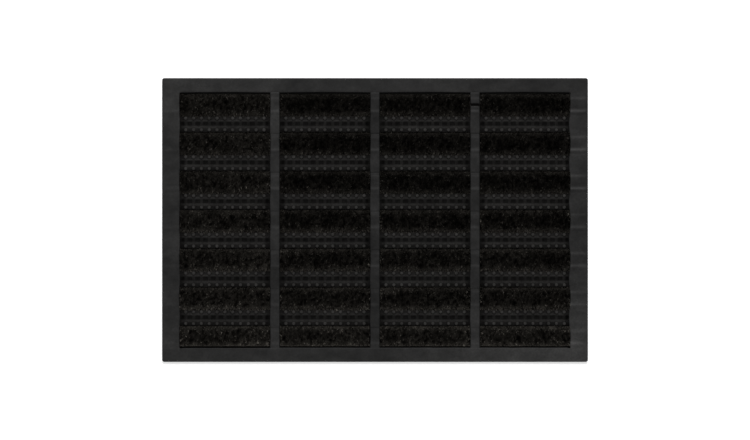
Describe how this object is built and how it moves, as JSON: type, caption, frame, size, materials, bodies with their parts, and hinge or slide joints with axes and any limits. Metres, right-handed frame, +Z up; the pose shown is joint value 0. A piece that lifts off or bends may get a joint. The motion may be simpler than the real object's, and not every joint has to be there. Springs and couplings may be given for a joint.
{
  "type": "door mat",
  "caption": "Flat rectangular rubber door mat with studded scraper bands between strips of dark brush pile, divided into columns by rubber bars inside a plain border.",
  "frame": {"origin": "middle of the underside, on the floor", "axes": "+X along the long side, +Y across the mat towards the edge whose neighbouring strip has the break in a bar, +Z up out of the pile"},
  "size_m": [0.6, 0.4, 0.0095],
  "materials": {
    "backing_rubber": "matt black moulded rubber",
    "border_rubber": "matt black moulded rubber with a faint bloom",
    "band_rubber": "matt black moulded rubber",
    "pile": "near-black coarse brush pile on a woven ground cloth"
  },
  "bodies": {
    "root": {"backing_sheet": "backing_rubber", "border_grid": "border_rubber", "pile_strip_1": "pile", "pile_strip_2": "pile", "pile_strip_3": "pile", "pile_strip_4": "pile", "pile_strip_5": "pile", "pile_strip_6": "pile", "pile_strip_7": "pile", "stud_band_r1_c1": "band_rubber", "stud_band_r1_c2": "band_rubber", "stud_band_r1_c3": "band_rubber", "stud_band_r1_c4": "band_rubber", "stud_band_r2_c1": "band_rubber", "stud_band_r2_c2": "band_rubber", "stud_band_r2_c3": "band_rubber", "stud_band_r2_c4": "band_rubber", "stud_band_r3_c1": "band_rubber", "stud_band_r3_c2": "band_rubber", "stud_band_r3_c3": "band_rubber", "stud_band_r3_c4": "band_rubber", "stud_band_r4_c1": "band_rubber", "stud_band_r4_c2": "band_rubber", "stud_band_r4_c3": "band_rubber", "stud_band_r4_c4": "band_rubber", "stud_band_r5_c1": "band_rubber", "stud_band_r5_c2": "band_rubber", "stud_band_r5_c3": "band_rubber", "stud_band_r5_c4": "band_rubber", "stud_band_r6_c1": "band_rubber", "stud_band_r6_c2": "band_rubber", "stud_band_r6_c3": "band_rubber", "stud_band_r6_c4": "band_rubber"}
  },
  "joints": []
}
